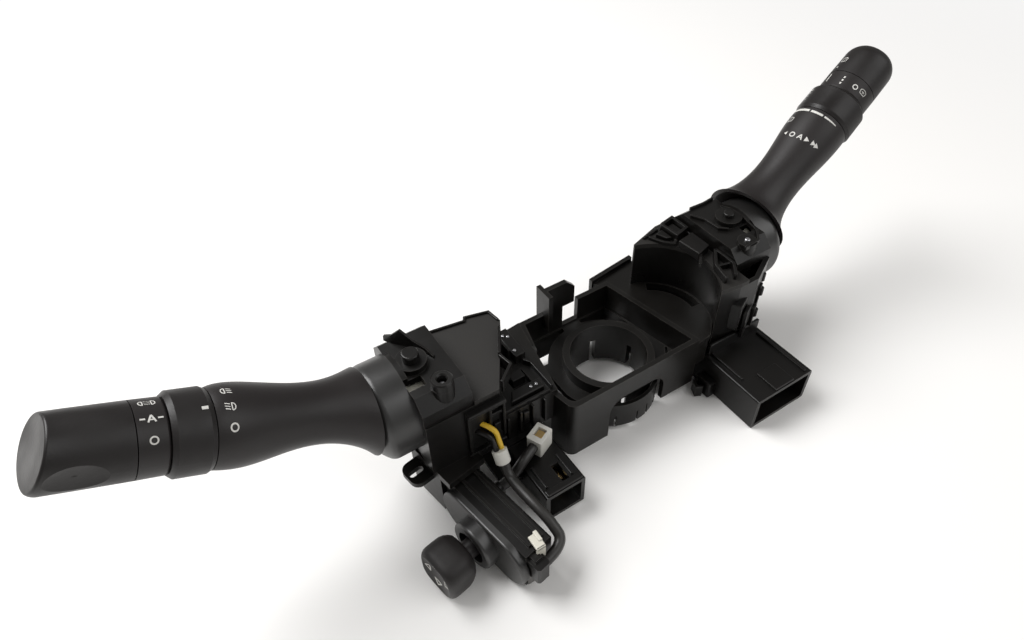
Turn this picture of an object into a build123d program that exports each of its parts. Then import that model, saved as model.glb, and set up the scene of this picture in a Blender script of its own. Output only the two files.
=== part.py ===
"""Combination stalk switch for a steering column.

Frame: millimetres, +Z up along the column axis, towards the steering wheel.  The origin lies on the
column axis, at the lower rim of the bracket's sleeve.  +X points to the wiper stalk.
"""
from build123d import *
import os
from math import cos, pi, radians, sin, sqrt, tan

os.makedirs("parts", exist_ok=True)

# ---------------------------------------------------------------- driving dimensions (mm, degrees)
clearance = 0.3            # running gap between pieces that move past each other
seat = 0.02                # gap round a piece that is pushed home and stays there
base_z = -3.0              # plane of the feet on which the switch stands

# column bracket
column_radius = 16.0
sleeve_wall = 3.0
sleeve_height = 21.0
slot_count = 6
slot_width = 2.4
slot_height = 12.0
flange_radius = 25.0
floor_top = 15.5
floor_thickness = 3.0
wall = 2.2
box_top = 28.0
box_corners = [(-33.0, -20.0), (31.0, -20.0), (21.5, 29.5), (-25.0, 29.5), (-35.0, -9.0)]
box_corner_radius = 6.0
arch_half_width = 14.0
arch_top = 18.0
arch_corner_radius = 7.0
deck_top = 26.0
deck_thickness = 2.6

# stalk sides: pivot point, heading of the stalk seen from above, and its rise at rest
left_pivot = (-82.0, 8.3, 43.0)
left_heading = 182.0
left_rise = 12.0
left_barrel = ((-82.6, 7.1, 41.7), 180.0, 25.2)       # a point on its axis, its heading and rise
right_pivot = (66.8, 8.1, 40.0)
right_heading = 12.0
right_rise = 19.5
right_barrel = ((66.7, 8.1, 40.2), 9.3, 29.2)

# ball cover and skirt
left_ball, right_ball = 24.8, 24.0      # radius of the ball
ball_wall = 1.8
ball_mouth_angle = 24.0
ball_side_radius = 18.0     # the ball is turned down to this where it meets the case
ball_side_round = 4.0
ball_face = 6.5            # from the pivot to the flat face on which the ball cover stands
left_rim, right_rim = 20.9, 17.9        # from the pivot to the plane of the skirt's rim
skirt_rim_wall = 1.9

# stalk profile
throat_radius = 12.3        # halfway between the rim and the waist
waist_at, waist_radius = 36.0, 10.6
grip_at, grip_radius = 52.0, 11.3
body_end_radius = 12.25
collar_radius = 12.75
collar_chamfer = 1.4
ring_radius = 11.25
knob_end_radius = 10.8
left_knob_end = (16.0, 3.0, 4.0)        # rake of the end face, its depth, rounding of the tip
right_knob_end = (5.0, 1.2, 7.0)
spindle_radius = 7.0
spindle_seat = 10.0
knob_spindle_radius = 4.5
knob_seat = 13.0
throat_lift = 0.9           # of the throat above the straight line from rim to waist
wire_way_radius = 2.2
wire_way_angle = 18.0       # of the wire way's inner end above the stalk axis
scoop_ball, scoop_depth = 22.0, 1.6
scoop_at, scoop_turn = 0.55, 87.0     # along the knob, and turned from its underside
left_stations = (72.8, 85.1, 93.2, 119.5)      # ends of body, collar, ring and knob on the barrel axis
right_stations = (70.3, 83.8, 91.9, 111.0)

# moving frame in the housing (yoke), lever pin and detent
yoke_back, yoke_front = -7.0, 5.8
yoke_width = 17.0
yoke_height = 23.0
yoke_wall = 2.8
trunnion_radius = 3.0
trunnion_length = 5.0
post_radius = 5.6
post_top = 17.8            # above the pivot point
lever_pin_radius = 2.0
shaft_radius = 4.6
plunger_radius = 2.3
plunger_reach = 13.5
plunger_length = 4.4        # from the pivot to the bottom of the plunger's bore
detent_depth = 3.2
detent_width = 15.0
detent_low, detent_high = -8.0, 3.8
drive_pin_radius = 1.4
drive_pin_offset = 12.6
slider_length, slider_width, slider_height = 12.0, 6.4, 3.4
board_thickness = 1.5

# housings
case_wall = 2.0
case_floor = 2.5
cover_thickness = 2.0
end_top = 15.4             # top of the end block above the pivot point
end_depth = 19.0
yoke_room = 11.0           # half the width of the yoke's passage
cover_lip = 1.5
left_case_bottom, left_case_top = 22.0, 48.0
right_case_bottom, right_case_top = 15.0, 46.0
boss_radius = 4.0
boss_offset = (4.0, -15.0)
boss_pin_radius = 1.2

# connectors
right_socket = (37.0, 68.0, -50.0, -2.0, base_z, 14.0)      # x, x, y, y, z, z
left_socket = (-57.5, -40.0, -38.5, -8.0, base_z, 12.5)
socket_wall = 1.7
socket_depth = 15.0
terminal_width = 0.8
terminal_length = 8.0

# tilt and reach switch
tilt_origin = (-84.0, -36.0, 7.5)
tilt_heading = 190.0
tilt_case_depth, tilt_case_height = 12.0, 20.0
tilt_case_far, tilt_case_near = 28.0, 20.0
tilt_wall = 1.6
rail_height = 1.0
bezel_thickness = 3.0
bezel_length, bezel_height = 44.0, 21.0
neck_radius, neck_length = 9.5, 5.0
neck_bore = 6.4
tilt_stem_radius = 3.6
tilt_pivot_depth = 7.0
tilt_knob_side, tilt_knob_length, tilt_knob_gap = 18.0, 13.0, 3.0
gimbal_radius, gimbal_bore, gimbal_thickness = 7.0, 5.2, 4.0
gimbal_pin_radius = 1.1


def write(node, shape):
    """Write one sub-part to its own STEP file."""
    export_step(shape, f"parts/{node}.step")


def block(x0, x1, y0, y1, z0, z1):
    """Axis-parallel block between two corners."""
    centre = ((x0 + x1) / 2, (y0 + y1) / 2, (z0 + z1) / 2)
    return Pos(*centre) * Box(x1 - x0, y1 - y0, z1 - z0)


def rod(radius, x0, x1):
    """Rod along X."""
    return Pos((x0 + x1) / 2, 0, 0) * Rot(0, 90, 0) * Cylinder(radius, x1 - x0)


def post(radius, x, y, z0, z1):
    """Upright round post."""
    return Pos(x, y, (z0 + z1) / 2) * Cylinder(radius, z1 - z0)


def outline(*points):
    """Flat face inside a closed run of straight edges."""
    return make_face(Polyline(*points, close=True))


def prism(face, z0, z1, inset=0.0):
    """Upright prism over a flat face, drawn in by inset."""
    if inset:
        face = offset(face, -inset)
    return Pos(0, 0, z0) * extrude(face, z1 - z0)


def arc_slot(centre, radius, width, start, end, z0, z1):
    """Curved slot along an arc, seen from above."""
    ring = Pos(*centre) * (Circle(radius + width / 2) - Circle(radius - width / 2))
    reach = 3 * radius
    corners = [centre]
    steps = 6
    for step in range(steps + 1):
        angle = radians(start + (end - start) * step / steps)
        corners.append((centre[0] + reach * cos(angle), centre[1] + reach * sin(angle)))
    sector = make_face(Polyline(*corners, close=True))
    return Pos(0, 0, z0) * extrude(ring & sector, z1 - z0)


# ---------------------------------------------------------------- housing outlines, seen from above
left_face_x = left_pivot[0] - ball_face
right_face_x = right_pivot[0] + ball_face
left_outline = outline((left_face_x, -12), (left_face_x, 28), (-74, 28), (-68.5, 26.5), (-53, 24),
                       (-52, 25.6), (-42.3, 23), (-41.4, 16.4), (-59.5, -12))
hollow_centre, hollow_radius = (23.8, 0.3), 24.4
right_outline = outline((right_face_x, -12), (right_face_x, 27), (66, 29), (46, 29), (30.5, 24.5),
                        (30.5, -16), (50, -19), (60, -19))
right_outline -= Pos(*hollow_centre) * Circle(hollow_radius)


# ---------------------------------------------------------------- column bracket
sleeve_radius = column_radius + sleeve_wall
box_outline = outline(*box_corners)
far_y = max(y for x, y in box_corners)
near_y = min(y for x, y in box_corners)
foot_height = 5.0
rear_foot_length = 9.0
tab_width, tab_top, tab_wall = 16.0, 41.0, 2.0
left_arm_top = 30.0


def column_bracket():
    """Sleeve, flange and walled box that carry both housings."""
    walls = prism(box_outline, base_z, box_top) - prism(box_outline, base_z - 1, box_top + 1, wall)
    corners = [e for e in walls.edges().filter_by(Axis.Z) if e.center().X < -30 and e.center().Y < -15]
    walls = fillet(corners, box_corner_radius - wall)
    floor = prism(box_outline, floor_top - floor_thickness, floor_top, wall / 2)
    body = walls + floor + post(sleeve_radius, 0, 0, 0, sleeve_height)
    # windows in the floor between the flange and the walls
    inner = prism(box_outline, floor_top - floor_thickness - 1, floor_top + 1, wall + 0.8)
    keep = post(flange_radius, 0, 0, floor_top - floor_thickness - 2, floor_top + 2)
    windows = inner - keep
    windows -= block(-4.5, 4.5, 0, 40, 0, 30) + block(-2, 31, -12, 12, 0, 30)
    windows -= block(-40, 0, 6, 13, 0, 30)
    body -= windows
    body -= block(-27, -13, -17, -13.5, 0, 30) + block(-29, -24.5, -6, 4, 0, 30)
    for x, y in ((24.5, -9), (24.5, -13), (15, 20)):
        body -= Pos(x, y, floor_top) * Rot(0, 0, 55) * Box(4.5, 1.2, 3 * floor_thickness)
    # bore and the comb of slots round its lower half
    body -= post(column_radius, 0, 0, base_z - 1, sleeve_height + 1)
    for step in range(slot_count):
        turn = 15 + step * 360 / slot_count
        slot = block(column_radius - 1, sleeve_radius + 1, -slot_width / 2, slot_width / 2, -1, slot_height)
        body -= Rot(0, 0, turn) * slot
    # arch in the near wall
    opening = block(-arch_half_width, arch_half_width, near_y - 5, near_y + wall + 0.9, base_z - 1, arch_top)
    opening = fillet([e for e in opening.edges().filter_by(Axis.Y) if e.center().Z > 0], arch_corner_radius)
    body -= opening
    body -= block(arch_half_width - 1, 40, near_y - 5, near_y + wall + 0.9, base_z - 1, base_z + foot_height)
    # feet under the far wall
    body -= block(-25 + rear_foot_length, 21 - rear_foot_length, far_y - 4, far_y + 4, base_z - 1,
                  base_z + foot_height)
    # open left side, where the wires and the left housing's arm come in
    body -= block(-40, -27, -8, 20, left_arm_top - 8, box_top + 1)
    # upstanding tab with its slot
    tab = block(-14, -14 + tab_width, far_y - wall, far_y, floor_top, tab_top)
    tab += block(-14, -14 + tab_wall, far_y - wall - 4, far_y + 3, box_top - 6, tab_top)
    tab = chamfer([e for e in tab.edges().filter_by(Axis.Y) if e.center().Z > tab_top - 1 and
                   e.center().X > 0], 4)
    body += tab
    body -= block(-4, 4, far_y - 4, far_y + 4, floor_top + 1, box_top)
    # right arm: deck and its far wall
    deck = outline((30, -20), (38, -19), (50, -8), (50, 20), (41, 30), (41, 38), (16, 35), (20.5, 27))
    arm = prism(deck, deck_top - deck_thickness, deck_top)
    arm += prism(outline((41, 38), (16, 35), (16, 33), (41, 36)), 12, deck_top + 2)
    arm += prism(outline((20.5, 27), (16, 35), (18, 35), (22.5, 27)), 12, deck_top)
    arm += block(30, right_socket[0] - 0.2, -19.4, -17.4, 12, deck_top)
    arm -= prism(box_outline, 0, box_top + 1, wall / 2)
    arm -= prism(right_outline, right_case_bottom, box_top + 1, -seat)
    body += arm
    body -= arc_slot(hollow_centre, hollow_radius - 3, 4.4, -8, 58, deck_top - 5, deck_top + 5)
    # left arm
    left_deck = outline((-33, -10), (-26, 28), (-46, 26), (-46, 16), (-53, 2), (-60, -10))
    arm = prism(left_deck, left_arm_top - deck_thickness, left_arm_top)
    arm += prism(outline((-26, 28), (-43, 26), (-43, 24), (-26, 26)), 14, left_arm_top)
    arm += prism(outline((-33, -10), (-60, -10), (-60, -8), (-33, -8)), 14, left_arm_top)
    arm += block(-36, -33.2, -9.4, 22, 14, left_arm_top)
    arm -= prism(box_outline, 0, left_arm_top - deck_thickness - 0.2, wall / 2)
    arm -= block(-47, -39, -4, 6, 20, 40)
    arm -= prism(left_outline, left_case_bottom, box_top + 9, -seat)
    body += arm
    return body


# ---------------------------------------------------------------- one stalk side
class Side:
    """Frames of one stalk: the housing frame at the pivot and the tilted stalk frame."""

    def __init__(self, pivot, heading, rise, ball, rim, barrel, stations, knob_tip, bottom, top,
                 outline, face_x):
        self.pivot = pivot
        self.housing = Pos(*pivot) * Rot(0, 0, heading)
        self.stalk = self.housing * Rot(0, -rise, 0)
        self.ball = ball
        self.hollow = ball + clearance + 0.1
        self.rim = rim
        self.rim_inner = sqrt(self.hollow ** 2 - rim ** 2)
        barrel_point, barrel_heading, barrel_rise = barrel
        self.barrel = Pos(*barrel_point) * Rot(0, 0, barrel_heading) * Rot(0, -barrel_rise, 0)
        self.throat_turn = Rot(0, 0, (heading + barrel_heading) / 2) * Rot(0, -(rise + barrel_rise) / 2, 0)
        self.body_end, self.collar_end, self.ring_end, self.knob_end = stations
        self.knob_tip = knob_tip
        self.bottom = bottom
        self.top = top
        self.outline = outline
        self.face_x = face_x
        self.sign = 1 if face_x > 0 else -1


left_side = Side(left_pivot, left_heading, left_rise, left_ball, left_rim, left_barrel, left_stations,
                 left_knob_end, left_case_bottom, left_case_top, left_outline, left_face_x)
right_side = Side(right_pivot, right_heading, right_rise, right_ball, right_rim, right_barrel, right_stations,
                  right_knob_end, right_case_bottom, right_case_top, right_outline, right_face_x)

pin_length = yoke_width - 0.4
detent_back = plunger_reach + clearance + detent_depth


def case(side):
    """Lower half of a housing: walls, floor, end block with the two pivot bosses and detent seat."""
    px, py, pz = side.pivot
    shell = prism(side.outline, side.bottom, side.top)
    shell -= prism(side.outline, side.bottom + case_floor, side.top + 1, case_wall)
    # end block, taller than the rest, under the upper pivot post
    x_face, x_back = side.face_x, side.face_x - side.sign * end_depth
    x0, x1 = min(x_face, x_back), max(x_face, x_back)
    y0, y1 = py - 20, py + 19
    end = block(x0, x1, y0 + 0.5, y1, side.top - 0.1, pz + end_top)
    end -= block(x0 + case_wall, x1 - case_wall, y0 + 3.5, y1 - 3, side.top - 1, pz + end_top - 2.8)
    end = chamfer([e for e in end.edges().filter_by(Axis.X) if e.center().Z > pz + end_top - 0.5], 5)
    disc = Pos(side.face_x - side.sign * case_wall / 2, py, pz) * Rot(0, 90, 0) * Cylinder(
        ball_side_radius, case_wall)
    body = shell + end + disc
    # round mouth behind the ball cover
    mouth = Pos(x_face, py, pz) * Rot(0, 90, 0) * Cylinder(yoke_height / 2 + 3.2, 2.5 * case_wall)
    body -= mouth
    passage = side.housing * block(yoke_back - 2.6, 9, -yoke_room, yoke_room, -yoke_height / 2 - 0.7,
                                   yoke_height / 2 + 0.9)
    body -= passage - block(-200, 200, -200, 200, pz + end_top - 2.8, 200)
    # pivot bosses
    gap = yoke_height / 2 + clearance
    upper = side.housing * post(post_radius, 0, 0, gap, post_top)
    lower = side.housing * post(post_radius, 0, 0, side.bottom + case_floor / 2 - pz, -gap)
    body += upper + lower
    bore_r = trunnion_radius + clearance / 2
    reach = yoke_height / 2 + trunnion_length + clearance
    body -= side.housing * post(bore_r, 0, 0, -reach, reach)
    # screw boss with its pin hole, beside the upper post, and a window between them
    bx, by = px - side.sign * boss_offset[0], py + boss_offset[1]
    body += post(boss_radius, bx, by, side.bottom + case_floor / 2, pz + end_top + 1)
    body -= post(boss_pin_radius + seat, bx, by, pz + 2, pz + end_top + 2)
    body -= Pos(px + side.sign * 3.2, py - 8.6, pz + end_top) * Box(6.5, 4.6, 8)
    # holes for the saddle's screws and the wires, on the left only
    if side is left_side:
        for x, y in saddle_screws:
            body -= tilt_frame * post(screw_radius + seat, x, y, saddle_low, saddle_top + case_floor + 0.2)
        for route in (yellow_wire_route, black_wire_route):
            body -= Plane(route[0], z_dir=route[1] - route[0]).location * Cylinder(wire_radius + 0.2, 8)
    # seat of the detent block
    seat_block = side.housing * block(-detent_back - 2, -detent_back, -detent_width / 2, detent_width / 2,
                                      side.bottom + case_floor / 2 - pz, detent_high)
    body += seat_block & prism(side.outline, side.bottom, side.top - cover_lip - 0.2)
    return body


def cover_plate(side):
    """Plate that closes a case, with a lip inside the walls, cut back at the end block."""
    px, py, pz = side.pivot
    plate = prism(side.outline, side.top, side.top + cover_thickness)
    lip = prism(side.outline, side.top - cover_lip, side.top, case_wall + 0.2)
    lip -= prism(side.outline, side.top - cover_lip - 1, side.top + 1, case_wall + 1.6)
    body = plate + lip
    x_back = side.face_x - side.sign * (end_depth + 0.1)
    far_x = side.face_x + side.sign * 10
    body -= block(min(x_back, far_x), max(x_back, far_x), py - 40, py + 40, side.top - 5, pz + 40)
    return body


def yoke(side):
    """Open frame that turns about the upright pivot and carries the cross pin of the stalk."""
    half_w, half_h = yoke_width / 2, yoke_height / 2
    body = block(yoke_back, yoke_front, -half_w, half_w, -half_h, half_h)
    body -= block(yoke_back - 1, yoke_front + 1, -half_w + yoke_wall, half_w - yoke_wall,
                  -half_h + yoke_wall, half_h - yoke_wall)
    upright = body.edges().filter_by(Axis.X)
    outer = [e for e in upright if abs(e.center().Y) > half_w - 0.1]
    body = fillet(outer, 2.0)
    body += post(trunnion_radius, 0, 0, half_h - 0.5, half_h + trunnion_length)
    body += post(trunnion_radius, 0, 0, -half_h - trunnion_length, -half_h + 0.5)
    body -= Rot(90, 0, 0) * Cylinder(lever_pin_radius + seat, yoke_width + 2)
    # drive arm with its pin for the contact slider
    arm_top = -half_h + yoke_wall
    body += block(-drive_pin_offset, yoke_back + 1, -3, 3, -half_h, arm_top)
    body += post(3, -drive_pin_offset, 0, -half_h, arm_top)
    body += post(drive_pin_radius, -drive_pin_offset, 0, board_level(side) + clearance + 1.0, arm_top)
    return side.housing * body


def board_level(side):
    """Height of the contact board's upper face above the pivot."""
    return side.bottom + case_floor - side.pivot[2] + board_thickness


def contact_board(side):
    """Printed contact board on the case floor, clear of the lower pivot boss."""
    low = side.bottom + case_floor
    board = prism(side.outline, low, low + board_thickness, case_wall + 0.3)
    board -= side.housing * post(post_radius + 0.2, 0, 0, -60, 60)
    px, py, pz = side.pivot
    bx, by = px - side.sign * boss_offset[0], py + boss_offset[1]
    board -= post(boss_radius + 0.2, bx, by, low - 1, low + 9)
    seat_cut = block(-detent_back - 2.2, -detent_back + 0.4, -detent_width / 2 - 0.2,
                     detent_width / 2 + 0.2, low - pz - 1, low - pz + 3)
    return board - side.housing * seat_cut


def slider(side):
    """Contact slider, moved across the board by the yoke's drive pin."""
    level = board_level(side) + clearance
    top = level + slider_height
    x = -drive_pin_offset
    body = block(x - slider_width / 2, x + slider_width / 2, -slider_length / 2, slider_length / 2,
                 level, top)
    slot = block(x - slider_width, x + slider_width / 2 - 1.4, -drive_pin_radius - clearance / 2,
                 drive_pin_radius + clearance / 2, level + 0.8, top + 1)
    return side.housing * (body - slot)


def detent_block(side):
    """Block with a hollow ball face and three notches for the spring plunger."""
    front = plunger_reach + clearance
    body = block(-detent_back, -front + 3.0, -detent_width / 2, detent_width / 2,
                 detent_low, detent_high)
    body -= Sphere(front)
    for step in (-1, 0, 1):
        notch = Rot(0, 0, 9 * step) * post(0.9, -front - 0.2, 0, 2 * detent_low, -2 * detent_low)
        body -= notch
    return side.housing * body


def plunger(side):
    """Spring plunger with a ball end, in the inner end of the stalk's shaft."""
    tip = plunger_reach - plunger_radius
    middle = plunger_radius * sqrt(0.5)
    edges = Polyline((-plunger_reach, 0), (-plunger_length - 0.1, 0), (-plunger_length - 0.1, plunger_radius),
                     (-tip, plunger_radius))
    edges += ThreePointArc((-tip, plunger_radius), (-tip - middle, middle), (-plunger_reach, 0))
    return side.stalk * revolve(make_face(edges), Axis.X)


def lever_pin(side):
    """Cross pin of the stalk, pressed into the yoke's cheeks."""
    pin = Rot(90, 0, 0) * Cylinder(lever_pin_radius, pin_length)
    return side.housing * pin


def ball_half(side, radius, drum_radius, rounding):
    """Front of a ball about the pivot, turned down to a drum that stands on the case's face."""
    strip = outline((ball_face, 0), (ball_face, drum_radius), (radius, drum_radius), (radius, 0))
    profile = Circle(radius) & strip
    shoulder = [v for v in profile.vertices() if v.Y > drum_radius - 0.1 and v.X > ball_face + 1]
    shape = revolve(fillet(shoulder, rounding), Axis.X)
    return Pos(*side.pivot) * Rot(0, 0, 90 - 90 * side.sign) * shape


def ball_cover(side):
    """Hollow ball over the pivot, turned down where it stands on the case, with a round mouth."""
    shell = ball_half(side, side.ball, ball_side_radius, ball_side_round)
    shell -= ball_half(side, side.ball - ball_wall, ball_side_radius - ball_wall, ball_side_round)
    mouth_radius = side.ball * sin(radians(ball_mouth_angle))
    shell -= side.stalk * rod(mouth_radius, side.ball / 2, side.ball + 1)
    return shell


def stalk_body(side):
    """Body of the stalk: shaft with pin eye and spherical skirt, then a barrel bent upwards."""
    rim_at = side.stalk * Pos(side.rim, 0, 0)
    waist = side.barrel * Pos(waist_at, 0, 0)
    throat = Pos(*((rim_at.position + waist.position) / 2)) * side.throat_turn * Pos(0, 0, throat_lift)
    rings = [(rim_at, side.rim_inner + skirt_rim_wall), (throat, throat_radius), (waist, waist_radius),
             (side.barrel * Pos(grip_at, 0, 0), grip_radius),
             (side.barrel * Pos(side.body_end, 0, 0), body_end_radius)]
    body = loft([place * Rot(0, 90, 0) * Circle(radius) for place, radius in rings])
    body -= side.stalk * Rot(0, 90, 0) * Sphere(side.hollow)
    # shaft with the pin's eye and the plunger's bore
    back = yoke_back - 0.6
    shaft = rod(shaft_radius, back, side.hollow + 1)
    shaft -= rod(plunger_radius + seat, back - 1, -plunger_length)
    shaft -= Rot(90, 0, 0) * Cylinder(lever_pin_radius + clearance / 2, 3 * shaft_radius)
    body += side.stalk * shaft
    # seat of the spindle and the wire way from there into the ball's hollow
    body -= side.barrel * rod(spindle_radius + seat, side.body_end - spindle_seat, side.body_end + 1)
    inlet = (side.stalk * Rot(0, -wire_way_angle, 0) * Pos(side.hollow - 1, 0, 0)).position
    outlet = (side.barrel * Pos(side.body_end - spindle_seat + 0.5, 0, 0)).position
    way = outlet - inlet
    body -= Plane(inlet, z_dir=way).location * Pos(0, 0, way.length / 2) * Cylinder(
        wire_way_radius, way.length)
    return body


def spindle(side):
    """Stepped spindle that carries the turning collar, the fixed ring and the end knob."""
    start = side.body_end - spindle_seat + 0.2
    body = rod(spindle_radius, start, side.ring_end)
    body += rod(knob_spindle_radius, side.ring_end - 0.5, side.ring_end + knob_seat)
    body -= rod(wire_way_radius, start - 1, side.ring_end + knob_seat + 1)
    return side.barrel * body


def collar(side):
    """Turning collar with chamfered shoulders."""
    x0 = side.body_end + clearance
    x1 = side.collar_end - clearance
    inner = spindle_radius + clearance
    face = outline((x0, inner), (x0, body_end_radius), (x0 + collar_chamfer, collar_radius + 0.2),
                   (x1 - collar_chamfer, collar_radius), (x1, ring_radius + 0.3), (x1, inner))
    return side.barrel * revolve(face, Axis.X)


def symbol_ring(side):
    """Fixed ring between the collar and the end knob."""
    x0, x1 = side.collar_end, side.ring_end
    inner = spindle_radius + seat
    face = outline((x0, inner), (x0, ring_radius - 0.3), (x0 + 0.5, ring_radius),
                   (x1, ring_radius), (x1, inner))
    return side.barrel * revolve(face, Axis.X)


def end_knob(side):
    """Turning end knob with a rounded, raked end and a thumb scoop on its lower near side."""
    rake, rake_depth, tip_round = side.knob_tip
    x0 = side.ring_end + clearance
    x1 = side.knob_end
    length = x1 - x0
    face = outline((x0, 0), (x0, ring_radius), (x0 + 0.55 * length, ring_radius - 0.2),
                   (x1, knob_end_radius), (x1, 0))
    tip = [v for v in face.vertices() if v.X > x1 - 0.1 and v.Y > 1]
    knob = revolve(fillet(tip, tip_round), Axis.X)
    plane = Plane(Pos(x1 - rake_depth, 0, 0) * Rot(0, 90 - rake, 0))
    knob -= plane.location * Pos(0, 0, 15) * Box(60, 60, 30)
    rim = [e for e in knob.edges() if abs(plane.to_local_coords(e.center()).Z) < 0.02
           and abs(plane.to_local_coords(e @ 0).Z) < 0.02]
    knob = fillet(rim, 0.8)
    knob -= Rot(scoop_turn, 0, 0) * Pos(x0 + scoop_at * length, 0, -ring_radius - scoop_ball + scoop_depth
                                        ) * Sphere(scoop_ball)
    knob -= rod(knob_spindle_radius + clearance, x0 - 1, x0 + knob_seat + clearance)
    return side.barrel * knob


# ---------------------------------------------------------------- connectors
def connector(box, riser_top, riser_length, keys):
    """Socket shroud that opens towards -Y, with key ribs inside and a riser at its back."""
    x0, x1, y0, y1, z0, z1 = box
    body = block(x0, x1, y0, y1, z0, z1)
    body = fillet(body.edges().filter_by(Axis.Y), 0.8)
    cavity = block(x0 + socket_wall, x1 - socket_wall, y0 - 1, y0 + socket_depth,
                   z0 + socket_wall, z1 - socket_wall)
    body -= cavity
    for share in keys:
        x = x0 + share * (x1 - x0)
        body += block(x - 0.6, x + 0.6, y0 + 1, y0 + socket_depth, z1 - socket_wall - 1.3, z1 - 1)
    # latch window and sunk panels in the roof
    x = x0 + 0.62 * (x1 - x0)
    body -= block(x - 1.6, x + 1.6, y0 + 3, y0 + 11, z1 - 2 * socket_wall + 0.4, z1 + 1)
    # hollow under the back half, between side ribs
    step = (x1 - x0 - 2 * socket_wall) / 3
    for k in range(3):
        cell = x0 + socket_wall + k * step
        body -= block(cell + 0.5, cell + step - 0.5, y0 + socket_depth + 2.5, y1 - 3, z0 - 1, z1 - 4)
    body += block(x0, x1, y1 - riser_length, y1, z1 - 1, riser_top)
    return body


def terminal_row(box, columns, rows):
    """Flat terminals that stand in a socket and pass through its back wall."""
    x0, x1, y0, y1, z0, z1 = box
    blades = []
    for row in range(rows):
        z = z0 + (row + 1) * (z1 - z0) / (rows + 1)
        for column in range(columns):
            x = x0 + socket_wall + (column + 0.5) * (x1 - x0 - 2 * socket_wall) / columns
            blades.append(block(x - terminal_width / 2, x + terminal_width / 2,
                                y0 + socket_depth - terminal_length, y0 + socket_depth,
                                z - 0.3, z + 0.3))
    return Compound(blades)


# ---------------------------------------------------------------- tilt and reach switch
tilt_frame = Pos(*tilt_origin) * Rot(0, 0, tilt_heading)


def tilt_case():
    """Slim case that stands on its long edge behind the bezel, with rails along its top."""
    back = -bezel_thickness - tilt_case_depth
    half = tilt_case_height / 2
    body = block(back, -bezel_thickness, -tilt_case_far, tilt_case_near, -half, half)
    body = fillet([e for e in body.edges().filter_by(Axis.Y) if e.center().X < back + 1], 1.0)
    body -= block(back + tilt_wall, -bezel_thickness + 1, -11, 11, -half + tilt_wall + 0.6,
                  half - tilt_wall - 0.6)
    for x in (back + 2.6, back + 8.2):
        body += block(x - 0.6, x + 0.6, -tilt_case_far + 3, tilt_case_near - 2, half - 0.2,
                      half + rail_height)
    # bearings of the gimbal's upright pins
    for z in (-1, 1):
        inner, outer = z * (gimbal_radius + clearance), z * (half - 0.5)
        body += post(2.2, gimbal_x, 0, *sorted((inner, outer)))
        body -= post(gimbal_pin_radius + clearance / 2, gimbal_x, 0, *sorted((inner - z, outer - 0.4 * z)))
    return tilt_frame * body


def tilt_bezel():
    """Long rounded plate with the raised neck round the stem."""
    plate = SlotOverall(bezel_length, bezel_height)
    plate = Rot(0, 90, 0) * Rot(0, 0, 90) * extrude(plate, bezel_thickness)
    body = Pos(-bezel_thickness, 0, 0) * plate
    rim = [e for e in body.edges() if e.center().X > -0.1]
    body = fillet(rim, 1.0)
    body += rod(neck_radius, -1.5, neck_length)
    body = fillet([e for e in body.edges() if e.center().X > neck_length - 0.1], 1.2)
    return tilt_frame * (body - rod(neck_bore, -bezel_thickness - 1, neck_length + 1))


gimbal_x = -bezel_thickness - tilt_pivot_depth + 0.4
cross_pin_radius = 1.2


def tilt_gimbal():
    """Ring on two upright pins; the stem's cross pin turns in it."""
    body = Rot(0, 90, 0) * (Cylinder(gimbal_radius, gimbal_thickness) - Cylinder(gimbal_bore, 9))
    tip = tilt_case_height / 2 - 1.2
    pins = post(gimbal_pin_radius, 0, 0, gimbal_radius - 0.6, tip)
    pins += post(gimbal_pin_radius, 0, 0, -tip, -gimbal_radius + 0.6)
    body += pins
    body -= Rot(90, 0, 0) * Cylinder(cross_pin_radius + clearance / 2, 3 * gimbal_radius)
    return tilt_frame * Pos(gimbal_x, 0, 0) * body


def tilt_stem():
    """Stem with a contact foot at its inner end and the seat of the knob at its outer end."""
    outer = neck_length + tilt_knob_gap - gimbal_x
    body = rod(tilt_stem_radius, -2.8, outer + tilt_knob_length - 4)
    body = fillet(body.edges().group_by(Axis.X)[0], 1.0)
    body -= Rot(90, 0, 0) * Cylinder(cross_pin_radius + seat, 4 * tilt_stem_radius)
    return tilt_frame * Pos(gimbal_x, 0, 0) * body


def tilt_cross_pin():
    """Cross pin that joins the stem to the gimbal ring."""
    pin = Rot(90, 0, 0) * Cylinder(cross_pin_radius, 2 * gimbal_radius - 1.6)
    return tilt_frame * Pos(gimbal_x, 0, 0) * pin


def tilt_knob():
    """Rounded square knob, drawn in towards the stem, with a dished face."""
    x0 = neck_length + tilt_knob_gap
    side_length = tilt_knob_side
    small = Plane.YZ.offset(x0) * RectangleRounded(side_length - 5, side_length - 5, 4.5)
    large = Plane.YZ.offset(x0 + 4.5) * RectangleRounded(side_length, side_length, 5.5)
    body = loft([small.face(), large.face()])
    body += extrude(Plane.YZ.offset(x0 + 4.5) * RectangleRounded(side_length, side_length, 5.5),
                    tilt_knob_length - 4.5)
    body = fillet(body.faces().sort_by(Axis.X)[-1].edges(), 2.0)
    body -= Pos(x0 + tilt_knob_length + 28.6, 0, 0) * Sphere(30)
    body -= rod(tilt_stem_radius + seat, x0 - 1, x0 + tilt_knob_length - 4)
    return tilt_frame * body


# ---------------------------------------------------------------- bracket of the tilt and reach switch
saddle_low = tilt_case_height / 2 + rail_height + clearance
saddle_top = left_case_bottom - tilt_origin[2]
saddle_far, saddle_near = -40.0, -17.0
saddle_screws = ((-6.0, -35.0), (-13.0, -35.0))
screw_radius, screw_head_radius, screw_head = 1.4, 2.7, 1.8
lug_reach = 8.0


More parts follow.
